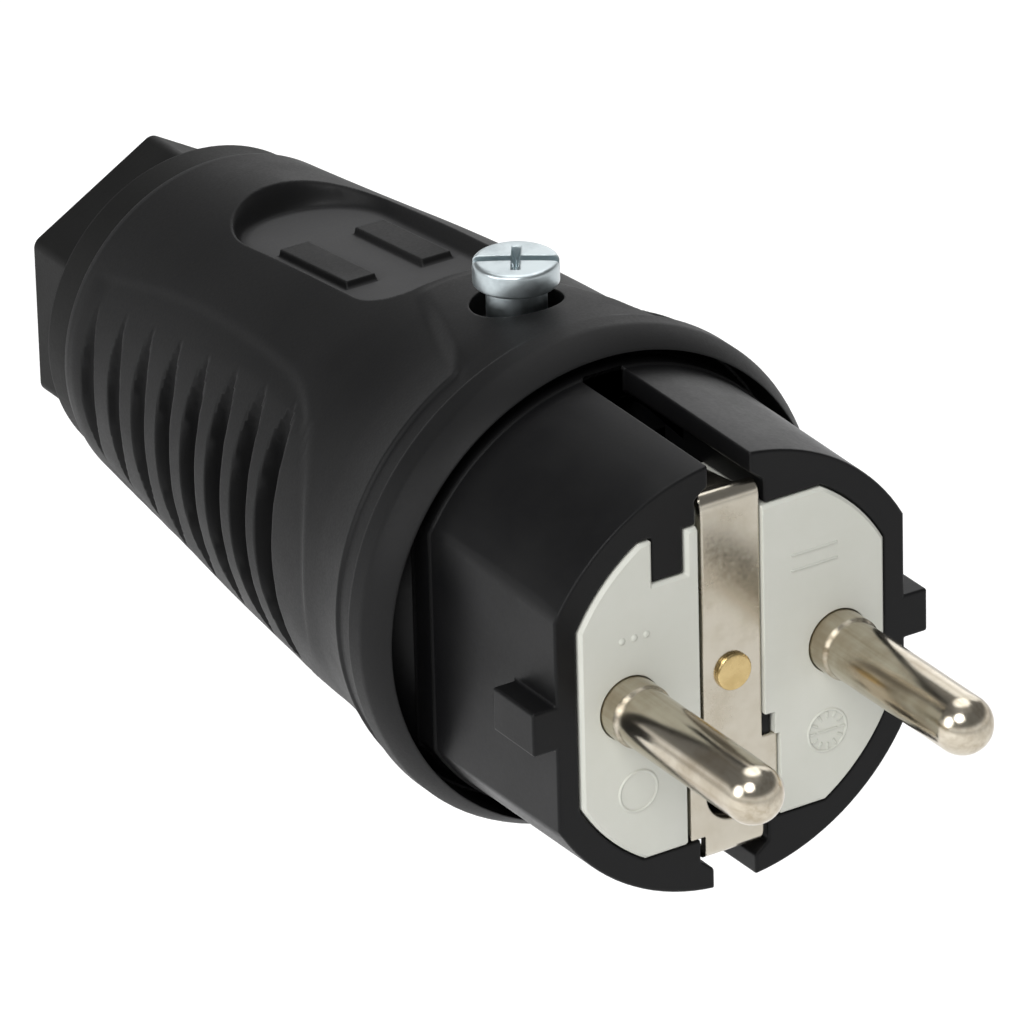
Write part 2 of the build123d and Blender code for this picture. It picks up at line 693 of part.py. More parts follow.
with BuildPart() as earth_terminal_screw:
    with BuildSketch(Plane.XY.offset(bracket_top + clamp_plate_t)):
        with Locations((0, earth_screw_y)):
            Circle(clamp_head_dia / 2)
    extrude(amount=clamp_head_len)
    chamfer(faces().sort_by(Axis.Z)[-1].edges(), length=clamp_head_edge)
    with BuildSketch(Plane.XY.offset(bracket_top + clamp_plate_t)):
        with Locations((0, earth_screw_y)):
            Circle(clamp_screw_dia / 2)
    extrude(amount=-clamp_screw_len)
    with BuildSketch(Plane.XY.offset(bracket_top + clamp_plate_t + clamp_head_len)):
        with Locations((0, earth_screw_y)):
            Rectangle(2 * clamp_head_dia, clamp_slot_w)
    extrude(amount=-clamp_slot_deep, mode=Mode.SUBTRACT)

with BuildPart() as housing_screw:
    with BuildSketch(Plane.XY.offset(screw_seat)):
        with Locations((0, screw_y)):
            Circle(screw_head_dia / 2)
    extrude(amount=screw_head_h)
    chamfer(faces().sort_by(Axis.Z)[-1].edges(), length=screw_head_edge)
    with BuildSketch(Plane.XY.offset(screw_seat)):
        with Locations((0, screw_y)):
            Circle(screw_dia / 2)
    extrude(amount=screw_tip - screw_seat)
    chamfer(faces().sort_by(Axis.Z)[0].edges(), length=screw_head_edge)
    with BuildSketch(Plane.XY.offset(screw_seat + screw_head_h)):
        with Locations((0, screw_y)):
            Rectangle(2 * screw_head_dia, screw_slot_w, rotation=screw_turn)
    extrude(amount=-screw_slot_deep, mode=Mode.SUBTRACT)
    with BuildSketch(Plane.XY.offset(screw_seat + screw_head_h)):
        with Locations((0, screw_y)):
            Rectangle(screw_cross_len, screw_slot_w, rotation=screw_turn)
            Rectangle(screw_slot_w, screw_cross_len, rotation=screw_turn)
    extrude(amount=-screw_cross_deep, mode=Mode.SUBTRACT)

with BuildPart() as housing_screw_nut:
    with BuildSketch(Plane.XY.offset(nut_low)):
        with Locations((0, screw_y)):
            Rectangle(nut_w, nut_w)
            Circle(screw_dia / 2 + thread_gap, mode=Mode.SUBTRACT)
    extrude(amount=nut_t)

with BuildPart() as gland_nut:
    with BuildSketch(Plane.XZ.offset(-flange_y)):
        Circle(flange_r)
    extrude(amount=-flange_len)
    with BuildSketch(Plane.XZ.offset(-hex_y)):
        RegularPolygon(hex_corner_r, 6, rotation=30)
        fillet(vertices(), radius=hex_corner_round)
    extrude(amount=-hex_len)
    chamfer(faces().sort_by(Axis.Y)[-1].outer_wire().edges(), length=hex_edge)
    with BuildSketch(Plane.XZ.offset(-thread_y)):
        Circle(nut_thread_r)
    extrude(amount=thread_y - flange_y)
    with BuildSketch(Plane.XZ.offset(-thread_y)):
        Circle(cable_bore_dia / 2)
    extrude(amount=thread_y - gland_end, mode=Mode.SUBTRACT)
    chamfer(faces().sort_by(Axis.Y)[-1].inner_wires().edges(), length=cable_flare)

with BuildPart() as thrust_washer:
    with BuildSketch(Plane.XZ.offset(-washer_y)):
        Circle(gland_ring_r)
        Circle(cable_bore_dia / 2 + washer_room, mode=Mode.SUBTRACT)
    extrude(amount=-washer_t)

with BuildPart() as gland_collet:
    with BuildSketch(Plane.XY):
        with BuildLine():
            Polyline((collet_bore_r, collet_y), (gland_ring_r - collet_taper, collet_y),
                     (gland_ring_r, washer_y - collet_base), (gland_ring_r, washer_y),
                     (collet_bore_r, washer_y), (collet_bore_r, collet_y))
        make_face()
    revolve(axis=Axis.Y)
    with BuildSketch(Plane.XZ.offset(-collet_y)):
        with PolarLocations(0, collet_slits):
            with Locations((gland_ring_r, 0)):
                Rectangle(2 * gland_ring_r, collet_slit_w)
    extrude(amount=collet_base - collet_len, mode=Mode.SUBTRACT)

with BuildPart() as gland_seal:
    with BuildSketch(Plane.XY):
        with BuildLine():
            # three ribs in the bore grip the cord
            bore_line = [(seal_bore_r, seal_y)]
            for i in range(seal_ribs):
                rib_y = seal_y + seal_len / 2 + (i - (seal_ribs - 1) / 2) * seal_rib_pitch
                bore_line.append((seal_bore_r, rib_y - seal_rib))
                bore_line.append((seal_bore_r - seal_rib, rib_y))
                bore_line.append((seal_bore_r, rib_y + seal_rib))
            Polyline(*bore_line, (seal_bore_r, collet_y), (gland_ring_r, collet_y), (gland_ring_r, seal_y),
                     bore_line[0])
        make_face()
    revolve(axis=Axis.Y)

pieces = {
    "housing": housing, "nose": nose, "contact_carrier": contact_carrier,
    "pin_left": pin_left, "pin_right": pin_right,
    "terminal_screw_left": terminal_screw_left, "terminal_screw_right": terminal_screw_right,
    "wire_clamp_left": wire_clamp_left, "wire_clamp_right": wire_clamp_right,
    "earth_strap": earth_strap, "earth_rivet": earth_rivet, "earth_socket_sleeve": earth_socket_sleeve,
    "earth_terminal": earth_terminal, "earth_terminal_screw": earth_terminal_screw,
    "wire_clamp_earth": wire_clamp_earth, "housing_screw": housing_screw,
    "housing_screw_nut": housing_screw_nut, "gland_nut": gland_nut, "thrust_washer": thrust_washer,
    "gland_collet": gland_collet, "gland_seal": gland_seal,
}
for name, piece in pieces.items():
    piece.part.label = name
    export_step(piece.part, "parts/" + name + ".step")
    print(name, len(piece.part.solids()), round(piece.part.volume, 1))
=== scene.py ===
import json
import math

import bmesh
import bpy
import numpy as np
from mathutils import Matrix, Vector


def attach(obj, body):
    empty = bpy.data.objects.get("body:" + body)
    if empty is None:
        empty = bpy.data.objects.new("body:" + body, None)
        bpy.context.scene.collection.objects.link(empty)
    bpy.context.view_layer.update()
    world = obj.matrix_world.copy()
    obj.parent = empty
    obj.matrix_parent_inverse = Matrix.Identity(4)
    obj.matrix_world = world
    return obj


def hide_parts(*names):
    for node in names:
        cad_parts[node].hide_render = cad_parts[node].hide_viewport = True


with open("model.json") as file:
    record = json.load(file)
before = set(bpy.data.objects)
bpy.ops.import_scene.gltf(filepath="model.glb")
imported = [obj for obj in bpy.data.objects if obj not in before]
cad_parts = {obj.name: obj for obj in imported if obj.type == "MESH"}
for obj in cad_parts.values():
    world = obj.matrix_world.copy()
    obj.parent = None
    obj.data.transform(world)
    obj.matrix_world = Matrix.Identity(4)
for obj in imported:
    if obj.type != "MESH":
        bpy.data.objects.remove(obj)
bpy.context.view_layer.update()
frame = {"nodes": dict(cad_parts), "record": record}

mm = 0.001
scene = bpy.context.scene
scene.view_settings.view_transform = "Standard"
print("frame loaded,", len(frame["nodes"]), "nodes")


# small helpers

# a socket takes a constant or the output of another node
def feed(tree, socket, value):
    if isinstance(value, (int, float, tuple)):
        socket.default_value = value
    else:
        tree.links.new(value, socket)


def addNode(tree, kind, values=None, **settings):
    node = tree.nodes.new(kind)
    for name, value in settings.items():
        setattr(node, name, value)
    for name, value in (values or {}).items():
        feed(tree, node.inputs[name], value)
    return node


def newMaterial(name, **values):
    material = bpy.data.materials.new(name)
    material.use_nodes = True
    tree = material.node_tree
    shader = tree.nodes["Principled BSDF"]
    for socket, value in values.items():
        shader.inputs[socket.replace("_", " ")].default_value = value
    return material, tree, shader


def calc(tree, operation, *values):
    node = addNode(tree, "ShaderNodeMath", operation=operation)
    for socket, value in zip(node.inputs, values):
        feed(tree, socket, value)
    return node.outputs[0]


def linkObject(name, mesh):
    piece = bpy.data.objects.new(name, mesh)
    scene.collection.objects.link(piece)
    return piece


# camera at the photograph's angle

cameraPlan = {
    "azimuth": -32.01,
    "elevation": 26.87,
    "roll": -1.55,
    "distance": 850 * mm,
    "aim": (0, 33 * mm, 0),
    "focalPixels": 10867,
    "imagePixels": 1031,
    "aimPixel": (499.8, 513.8),
    "sensor": 36,
}


def makeCamera(plan):
    azimuth, elevation, roll = (math.radians(plan[name]) for name in ("azimuth", "elevation", "roll"))
    back = Vector((math.sin(azimuth) * math.cos(elevation), -math.cos(azimuth) * math.cos(elevation),
                   math.sin(elevation)))
    right = Vector((math.cos(azimuth), math.sin(azimuth), 0))
    up = back.cross(right)
    rolledRight = right * math.cos(roll) + up * math.sin(roll)
    rolledUp = up * math.cos(roll) - right * math.sin(roll)
    data = bpy.data.cameras.new("camera")
    data.sensor_width = plan["sensor"]
    data.lens = plan["focalPixels"] * plan["sensor"] / plan["imagePixels"]
    middle = plan["imagePixels"] / 2
    data.shift_x = (middle - plan["aimPixel"][0]) / plan["imagePixels"]
    data.shift_y = (plan["aimPixel"][1] - middle) / plan["imagePixels"]
    data.clip_start = 0.01
    data.clip_end = 20
    camera = bpy.data.objects.new("camera", data)
    scene.collection.objects.link(camera)
    turn = Matrix((rolledRight, rolledUp, back)).transposed().to_4x4()
    camera.matrix_world = Matrix.Translation(Vector(plan["aim"]) + back * plan["distance"]) @ turn
    scene.camera = camera
    return rolledRight, rolledUp, back


viewRight, viewUp, viewBack = makeCamera(cameraPlan)
print("camera set")


# floor, world and lamps

stagePlan = {
    "floorHeight": -160 * mm,
    "floorSize": 6,
    "floorColour": (0.9, 0.9, 0.9, 1),
    "floorLift": 0.3,
    # height of the view direction and how bright the room is there
    "room": ((0.0, 1.0), (0.1, 1.0), (0.3, 0.2), (0.8, 0.2), (1.0, 0.4)),
    "lamps": {
        # name: direction as (right, up, towards the camera), distance, size, watts
        "topLamp": ((0.0, 0.99, 0.1), 1.0, 0.8, 3.1),
        "backLamp": ((0.2, 0.81, -0.55), 1.0, 0.8, 1.8),
        "frontLamp": ((-0.2, 0.35, 0.92), 1.0, 0.5, 5.0),
        "sideLamp": ((-0.79, 0.1, 0.6), 1.0, 0.6, 4.0),
    },
}


def makeWorld(room):
    world = bpy.data.worlds.new("studioRoom")
    world.use_nodes = True
    tree = world.node_tree
    tree.nodes.clear()
    place = addNode(tree, "ShaderNodeTexCoord").outputs["Generated"]
    height = addNode(tree, "ShaderNodeSeparateXYZ", {0: place}).outputs["Z"]
    walls = addNode(tree, "ShaderNodeValToRGB", {0: height})
    walls.color_ramp.interpolation = "EASE"
    stops = walls.color_ramp.elements
    while len(stops) < len(room):
        stops.new(1.0)
    for stop, (position, level) in zip(stops, room):
        stop.position = position
        stop.color = (level, level, level, 1)
    light = addNode(tree, "ShaderNodeBackground", {"Color": walls.outputs[0], "Strength": 1.0})
    addNode(tree, "ShaderNodeOutputWorld", {0: light.outputs[0]})
    scene.world = world


def makeFloor(plan):
    half = plan["floorSize"] / 2
    mesh = bpy.data.meshes.new("floor")
    corners = [(-half, -half), (half, -half), (half, half), (-half, half)]
    mesh.from_pydata([(x, y, plan["floorHeight"]) for x, y in corners], [], [(0, 1, 2, 3)])
    floor = linkObject("floor", mesh)
    lift = plan["floorLift"]
    material, tree, shader = newMaterial("paleFloor", Base_Color=plan["floorColour"], Roughness=0.9,
                                         Specular_IOR_Level=0.1, Emission_Color=(lift, lift, lift, 1))
    # seen directly or mirrored, the pale floor comes up to white and keeps its shadow
    path = addNode(tree, "ShaderNodeLightPath")
    seen = calc(tree, "MAXIMUM", path.outputs["Is Camera Ray"], path.outputs["Is Glossy Ray"])
    seen = calc(tree, "MAXIMUM", seen, path.outputs["Is Transmission Ray"])
    tree.links.new(seen, shader.inputs["Emission Strength"])
    mesh.materials.append(material)


def makeLamps(lamps):
    aim = Vector(cameraPlan["aim"])
    for name, (direction, distance, size, watts) in lamps.items():
        data = bpy.data.lights.new(name, "AREA")
        data.shape = "DISK"
        data.size = size
        data.energy = watts
        lamp = bpy.data.objects.new(name, data)
        scene.collection.objects.link(lamp)
        towards = (viewRight * direction[0] + viewUp * direction[1] + viewBack * direction[2]).normalized()
        lamp.location = aim + towards * distance
        lamp.rotation_euler = towards.to_track_quat("Z", "Y").to_euler()


makeWorld(stagePlan["room"])
makeFloor(stagePlan)
makeLamps(stagePlan["lamps"])
print("stage set")


# helpers for meshes and geometry trees

def cleanMesh(mesh, sharpAngle):
    work = bmesh.new()
    work.from_mesh(mesh)
    bmesh.ops.recalc_face_normals(work, faces=work.faces)
    work.to_mesh(mesh)
    work.free()
    mesh.shade_smooth()
    mesh.set_sharp_from_angle(angle=math.radians(sharpAngle))


def bakeModifiers(piece):
    graph = bpy.context.evaluated_depsgraph_get()
    mesh = bpy.data.meshes.new_from_object(piece.evaluated_get(graph))
    piece.modifiers.clear()
    old = piece.data
    piece.data = mesh
    bpy.data.meshes.remove(old)
    mesh.name = piece.name


def finishNormals(piece, sharpAngle):
    cleanMesh(piece.data, sharpAngle)
    even = piece.modifiers.new("evenNormals", "WEIGHTED_NORMAL")
    even.keep_sharp = True
    bakeModifiers(piece)


def latheMesh(name, profile, segments, place, sharpAngle=40):
    points, faces, rings = [], [], []
    for radius, height in profile:
        count = segments if radius > 1e-6 else 1
        rings.append((len(points), count))
        for step in range(count):
            turn = 2 * math.pi * step / count
            points.append(place @ (Vector((radius * math.cos(turn), radius * math.sin(turn), height)) * mm))
    for (start, count), (after, afterCount) in zip(rings, rings[1:]):
        for step in range(segments):
            loop = (start + step % count, start + (step + 1) % count,
                    after + (step + 1) % afterCount, after + step % afterCount)
            faces.append(tuple(dict.fromkeys(loop)))
    mesh = bpy.data.meshes.new(name)
    mesh.from_pydata(points, [], faces)
    cleanMesh(mesh, sharpAngle)
    return mesh


def cutAway(piece, mesh):
    cutter = linkObject("cutter", mesh)
    cut = piece.modifiers.new("cut", "BOOLEAN")
    cut.operation = "DIFFERENCE"
    cut.solver = "EXACT"
    cut.object = cutter
    bakeModifiers(piece)
    bpy.data.objects.remove(cutter)


def newGeometryTree(name, sizes):
    tree = bpy.data.node_groups.new(name, "GeometryNodeTree")
    tree.interface.new_socket("Geometry", in_out="INPUT", socket_type="NodeSocketGeometry")
    for size in sizes:
        tree.interface.new_socket(size, in_out="INPUT", socket_type="NodeSocketFloat")
    tree.interface.new_socket("Finish", in_out="INPUT", socket_type="NodeSocketMaterial")
    tree.interface.new_socket("Geometry", in_out="OUTPUT", socket_type="NodeSocketGeometry")
    entry = tree.nodes.new("NodeGroupInput")
    return tree, entry.outputs


def closeGeometryTree(tree, geometry, finish):
    real = addNode(tree, "GeometryNodeRealizeInstances", {0: geometry})
    paint = addNode(tree, "GeometryNodeSetMaterial", {"Geometry": real.outputs[0], "Material": finish})
    addNode(tree, "NodeGroupOutput", {0: paint.outputs[0]})


def runGeometryTree(piece, tree, sizes, finish):
    modifier = piece.modifiers.new(tree.name, "NODES")
    modifier.node_group = tree
    for item in tree.interface.items_tree:
        if item.in_out == "INPUT" and item.name in sizes:
            modifier[item.identifier] = float(sizes[item.name])
        if item.in_out == "INPUT" and item.name == "Finish":
            modifier[item.identifier] = finish
    bakeModifiers(piece)


def handOver(piece, node):
    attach(piece, "root")
    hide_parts(node)
    print(piece.name, "made,", len(piece.data.polygons), "faces")


# shared surface effects

def colourMix(tree, factor, first, second):
    node = addNode(tree, "ShaderNodeMix", data_type="RGBA")
    sockets = {socket.identifier: socket for socket in node.inputs}
    for name, value in (("Factor_Float", factor), ("A_Color", first), ("B_Color", second)):
        feed(tree, sockets[name], value)
    return next(socket for socket in node.outputs if socket.identifier == "Result_Color")


def rangeOf(tree, value, fromLow, fromHigh, toLow, toHigh):
    node = addNode(tree, "ShaderNodeMapRange")
    for socket, given in zip(node.inputs, (value, fromLow, fromHigh, toLow, toHigh)):
        feed(tree, socket, given)
    return node.outputs[0]


def newGroup(name, inputs, outputs):
    group = bpy.data.node_groups.new(name, "ShaderNodeTree")
    for socket, kind in inputs:
        group.interface.new_socket(socket, in_out="INPUT", socket_type="NodeSocket" + kind)
    for socket, kind in outputs:
        group.interface.new_socket(socket, in_out="OUTPUT", socket_type="NodeSocket" + kind)
    return group, group.nodes.new("NodeGroupInput").outputs, group.nodes.new("NodeGroupOutput").inputs


def noiseOf(group, scale, detail, stretch=None):
    place = addNode(group, "ShaderNodeTexCoord").outputs["Object"]
    if stretch is not None:
        drawn = addNode(group, "ShaderNodeVectorMath", {0: place, 1: stretch}, operation="MULTIPLY")
        place = drawn.outputs[0]
    noise = addNode(group, "ShaderNodeTexNoise", {
        "Vector": place, "Scale": scale, "Detail": detail, "Roughness": 0.6})
    return noise.outputs["Fac"]


# moulded plastic and rubber: fine spark grain, cloudy tone, uneven gloss
def makeMouldedGroup():
    group, given, result = newGroup(
        "mouldedSurface",
        (("Grain Scale", "Float"), ("Cloud Scale", "Float"), ("Dark", "Color"), ("Light", "Color"),
         ("Smooth", "Float"), ("Rough", "Float")),
        (("Colour", "Color"), ("Roughness", "Float"), ("Height", "Float")))
    grain = noiseOf(group, given["Grain Scale"], 3.0)
    cloud = rangeOf(group, noiseOf(group, given["Cloud Scale"], 6.0), 0.32, 0.68, 0.0, 1.0)
    colour = colourMix(group, cloud, given["Dark"], given["Light"])
    both = calc(group, "MULTIPLY_ADD", grain, 0.6, calc(group, "MULTIPLY", cloud, 0.4))
    group.links.new(colour, result["Colour"])
    group.links.new(rangeOf(group, both, 0.2, 0.8, given["Smooth"], given["Rough"]), result["Roughness"])
    group.links.new(grain, result["Height"])
    return group


# plated and turned metal: drawn lines along one way, small stains
def makeMetalGroup():
    group, given, result = newGroup(
        "workedMetal",
        (("Line Scale", "Float"), ("Stretch", "Vector"), ("Stain Scale", "Float"), ("Clean", "Color"),
         ("Stained", "Color"), ("Smooth", "Float"), ("Rough", "Float"), ("Streaks", "Float")),
        (("Colour", "Color"), ("Roughness", "Float"), ("Height", "Float")))
    lines = noiseOf(group, given["Line Scale"], 4.0, given["Stretch"])
    stain = rangeOf(group, noiseOf(group, given["Stain Scale"], 5.0), 0.45, 0.75, 0.0, 1.0)
    both = calc(group, "MULTIPLY_ADD", lines, 0.6, calc(group, "MULTIPLY", stain, 0.4))
    dirty = calc(group, "MULTIPLY_ADD", rangeOf(group, lines, 0.42, 0.62, 0.0, 1.0), given["Streaks"], stain)
    group.links.new(colourMix(group, dirty, given["Clean"], given["Stained"]), result["Colour"])
    group.links.new(rangeOf(group, both, 0.2, 0.8, given["Smooth"], given["Rough"]), result["Roughness"])
    group.links.new(lines, result["Height"])
    return group


mouldedSurface = makeMouldedGroup()
workedMetal = makeMetalGroup()


def surfaceMaterial(name, group, plan, **shaderValues):
    material, tree, shader = newMaterial(name, **shaderValues)
    surface = addNode(tree, "ShaderNodeGroup", plan["surface"], node_tree=group)
    soft = addNode(tree, "ShaderNodeBevel", {"Radius": plan["edgeRadius"]}, samples=6).outputs[0]
    bump = addNode(tree, "ShaderNodeBump", {
        "Strength": plan["bumpStrength"], "Distance": plan["bumpDepth"],
        "Height": surface.outputs["Height"], "Normal": soft})
    colour, rough = surface.outputs["Colour"], surface.outputs["Roughness"]
    if "floorColour" in plan:
        # the floor of the pocket is matt and paler
        onFloor = addNode(tree, "ShaderNodeAttribute", attribute_name="pocketFloor").outputs["Fac"]
        colour = colourMix(tree, onFloor, colour, plan["floorColour"])
        rough = calc(tree, "MULTIPLY_ADD", onFloor, plan["floorDull"], rough)
    if "edgeHighlightColour" in plan:
        # edges turn a little lighter: a painted highlight along the rounded edges, found from the bevelled
        # normal
        normal = addNode(tree, "ShaderNodeNewGeometry").outputs["Normal"]
        facing = addNode(tree, "ShaderNodeVectorMath", {0: soft, 1: normal}, operation="DOT_PRODUCT")
        paintedEdgeHighlight = rangeOf(tree, facing.outputs["Value"], 1.0, 0.8, 0.0, plan["edgeHighlightAmount"])
        colour = colourMix(tree, paintedEdgeHighlight, colour, plan["edgeHighlightColour"])
    for socket, value in (("Base Color", colour), ("Roughness", rough), ("Normal", bump.outputs[0])):
        feed(tree, shader.inputs[socket], value)
    return material


# the edge colour and edge amount of the black plastics paint a highlight along their rounded edges
finishPlans = {
    "housing_rubber": {
        "surface": {"Grain Scale": 4200, "Cloud Scale": 90, "Dark": (0.005, 0.005, 0.0053, 1),
                    "Light": (0.0075, 0.0075, 0.0077, 1), "Smooth": 0.42, "Rough": 0.6},
        "edgeRadius": 0.25 * mm, "bumpStrength": 0.25, "bumpDepth": 0.03 * mm,
        "edgeHighlightColour": (0.03, 0.03, 0.03, 1), "edgeHighlightAmount": 0.5,
        "floorColour": (0.06, 0.06, 0.061, 1), "floorDull": 0.25,
    },
    "nose_plastic": {
        "surface": {"Grain Scale": 3000, "Cloud Scale": 120, "Dark": (0.0045, 0.0045, 0.005, 1),
                    "Light": (0.0065, 0.0065, 0.0067, 1), "Smooth": 0.3, "Rough": 0.46},
        "edgeRadius": 0.2 * mm, "bumpStrength": 0.12, "bumpDepth": 0.02 * mm,
        "edgeHighlightColour": (0.02, 0.02, 0.02, 1), "edgeHighlightAmount": 0.3,
    },
    "gland_plastic": {
        "surface": {"Grain Scale": 3600, "Cloud Scale": 110, "Dark": (0.005, 0.005, 0.005, 1),
                    "Light": (0.0075, 0.0075, 0.0072, 1), "Smooth": 0.45, "Rough": 0.62},
        "edgeRadius": 0.25 * mm, "bumpStrength": 0.25, "bumpDepth": 0.03 * mm,
        "edgeHighlightColour": (0.03, 0.03, 0.03, 1), "edgeHighlightAmount": 0.5,
    },
    "carrier_plastic": {
        "surface": {"Grain Scale": 3200, "Cloud Scale": 140, "Dark": (0.68, 0.688, 0.62, 1),
                    "Light": (0.72, 0.726, 0.665, 1), "Smooth": 0.42, "Rough": 0.58},
        "edgeRadius": 0.12 * mm, "bumpStrength": 0.15, "bumpDepth": 0.02 * mm,
    },
    "seal_rubber": {
        "surface": {"Grain Scale": 3000, "Cloud Scale": 120, "Dark": (0.014, 0.014, 0.014, 1),
                    "Light": (0.022, 0.022, 0.022, 1), "Smooth": 0.55, "Rough": 0.75},
        "edgeRadius": 0.2 * mm, "bumpStrength": 0.3, "bumpDepth": 0.04 * mm,
    },
    "nickel": {
        "surface": {"Line Scale": 900, "Stretch": (3.0, 0.15, 3.0), "Stain Scale": 260,
                    "Clean": (0.53, 0.492, 0.415, 1), "Stained": (0.46, 0.415, 0.33, 1),
                    "Smooth": 0.18, "Rough": 0.34},
        "edgeRadius": 0.3 * mm, "bumpStrength": 0.08, "bumpDepth": 0.01 * mm,
    },
    "drawnNickel": {
        "surface": {"Line Scale": 700, "Stretch": (3.0, 0.06, 3.0), "Stain Scale": 220,
                    "Clean": (0.6, 0.55, 0.455, 1), "Stained": (0.42, 0.36, 0.27, 1),
                    "Smooth": 0.13, "Rough": 0.25, "Streaks": 0.4},
        "edgeRadius": 0.6 * mm, "bumpStrength": 0.05, "bumpDepth": 0.01 * mm,
    },
    "brass": {
        "surface": {"Line Scale": 1500, "Stretch": (1.0, 1.0, 1.0), "Stain Scale": 300,
                    "Clean": (0.6, 0.455, 0.22, 1), "Stained": (0.46, 0.33, 0.14, 1),
                    "Smooth": 0.22, "Rough": 0.42},
        "edgeRadius": 0.15 * mm, "bumpStrength": 0.15, "bumpDepth": 0.02 * mm,
    },
    "zinc_steel": {
        "surface": {"Line Scale": 1300, "Stretch": (1.0, 1.0, 1.0), "Stain Scale": 420,
                    "Clean": (0.53, 0.59, 0.61, 1), "Stained": (0.38, 0.43, 0.45, 1),
                    "Smooth": 0.28, "Rough": 0.46},
        "edgeRadius": 0.2 * mm, "bumpStrength": 0.15, "bumpDepth": 0.02 * mm,
    },
}
plasticShader = {"Specular_IOR_Level": 0.16}
metalShader = {"Metallic": 1.0}
finishes = {}
for finishName, plan in finishPlans.items():
    if "Line Scale" in plan["surface"]:
        finishes[finishName] = surfaceMaterial(finishName, workedMetal, plan, **metalShader)
    else:
        finishes[finishName] = surfaceMaterial(finishName, mouldedSurface, plan, **plasticShader)
for part in frame["record"]["subparts"]:
    mesh = frame["nodes"][part["node"]].data
    mesh.materials.clear()
    drawn = part["node"].startswith("pin_")
    mesh.materials.append(finishes["drawnNickel" if drawn else part["material_slot"]])
print("finishes made:", ", ".join(finishes))


# soft moulded housing, as rings of points from the lip to the tail and back through the bores

screwY = 29.7
housingPlan = {
    # start, end and bulge of the lip's arc, as (radius, y)
    "lip": ((19.6, 17.6), (20.85, 20.2), 0.12),
    "lipRound": 0.16,
    "lipGap": 0.05,
    "lipPoints": 16,
    "lipRoundPoints": 7,
    # end (radius, y) and bulge of each arc, from the lip to the tail
    "skin": (((20.85, 22.0), 0.0), ((20.42, 24.5), 0.0), ((19.3, 29.3), -0.08), ((18.85, 35.0), -0.08),
             ((16.9, 57.0), 0.2), ((14.78, 75.2), -0.05)),
    "skinPoints": 400,
    "tailRound": 0.6,
    "bores": ((11.5, 75.2), (11.5, 47.0), (7.0, 47.0), (7.0, 45.0), (12.6, 35.2), (15.2, 35.2),
              (15.2, 22.5), (19.6, 22.5)),
    "skinStep": 0.4,
    # (from, to, step) where the rings stand closer
    "fineSpans": ((21.6, 25.0, 0.12), (35.0, 74.2, 0.15)),
    # (angle from the top in degrees, step) down each side, at the middle radius
    "columns": ((6.5, 0.75), (7.4, 0.15), (15.7, 0.75), (16.6, 0.15), (20, 0.75), (26.4, 0.42), (40, 0.8),
                (56, 1.3), (124, 2.8), (140, 1.8), (180, 3.4)),
    "middleRadius": 17.5,
    "straightStrip": 9.5,
    "sharpAngle": 38,
}
panelPlan = {
    "span": (31.5, 43.0, 73.6),
    "halfHeight": (13.0, 8.5),
    "noseCurve": 2.4,
    "round": 20.8,
    "frontX": 17.6,
    "lean": 0.102,
    "edge": 0.6,
    "least": 0.18,
    "rearFade": 3.0,
}
# pad under the screw: it leaves the collar flush, falls slowly and narrows to the pocket
padPlan = {
    "front": (22.0, 20.85),
    "fall": (0.085, 0.0027),
    "halfWidth": 9.4,
    "narrowing": 0.362,
    "end": 38.8,
    "edge": 1.6,
    "rearFade": 1.5,
}
# groove behind the collar, lost in the pad
collarGroovePlan = {"span": (22.0, 24.5), "depth": 0.22, "edge": 0.4, "fade": (2.5, 8.5), "padRun": 3.0}
pocketPlan = {
    "span": (39.6, 65.2),
    "halfWidth": 6.4,
    "corners": (3.0, 6.3),
    "floorZ": 14.84,
    "lean": 0.105,
    "wallAngle": 18,
    "floorRound": 1.0,
    "rimRound": 0.55,
    "tablets": {"x": 3.5, "halfWidth": 1.38, "span": (46.9, 57.0), "height": 0.6, "edge": 0.16},
}
screwHolePlan = {"y": screwY, "headRadius": 3.7, "headFloor": 17.3, "shankRadius": 2.7, "bottom": 12, "top": 24,
                 "segments": 72}


def smoothStep(value):
    value = np.clip(value, 0, 1)
    return value * value * (3 - 2 * value)


def smoothMin(first, second, size):
    blend = np.clip(size - np.abs(first - second), 0, None) / size
    return np.minimum(first, second) - blend * blend * size / 4


def smoothMax(first, second, size):
    return -smoothMin(-first, -second, size)


def arcPoints(start, end, bulge, count):
    start, end = np.array(start), np.array(end)
    along = end - start
    normal = np.array((along[1], -along[0])) / np.hypot(*along)
    share = np.linspace(0, 1, count)[:, None]
    return start + along * share + normal * bulge * 4 * share * (1 - share)


def housingRings(plan):
    lip = arcPoints(*plan["lip"], plan["lipPoints"])
    # the sharp inner edge of the mouth is rolled over
    size, corner = plan["lipRound"], lip[0]
    inner = corner + np.array((0, size))
    run = np.hypot(*(lip - corner).T)
    outer = np.array((np.interp(size, run, lip[:, 0]), np.interp(size, run, lip[:, 1])))
    shares = np.linspace(0, 1, plan["lipRoundPoints"])
    rings = [inner * (1 - t) ** 2 + corner * 2 * t * (1 - t) + outer * t * t for t in shares]
    rings.extend(lip[run > size + plan["lipGap"]])
    arcs, start = [], plan["lip"][1]
    for end, bulge in plan["skin"]:
        arcs.append(arcPoints(start, end, bulge, plan["skinPoints"]))
        start = end
    profile = np.concatenate(arcs)
    tail, size = profile[-1][1], plan["tailRound"]
    y = rings[-1][1]
    while y < tail - size:
        y += next((step for low, high, step in plan["fineSpans"] if low <= y < high), plan["skinStep"])
        rings.append(np.array((np.interp(y, profile[:, 1], profile[:, 0]), y)))
    rings = [ring for ring in rings if ring[1] < tail - size]
    radius = profile[-1][0]
    for turn in np.radians(range(0, 91, 15)):
        rings.append(np.array((radius - size * (1 - math.cos(turn)), tail - size * (1 - math.sin(turn)))))
    outer = len(rings)
    rings.extend(np.array(corner) for corner in plan["bores"])
    return np.array(rings), outer


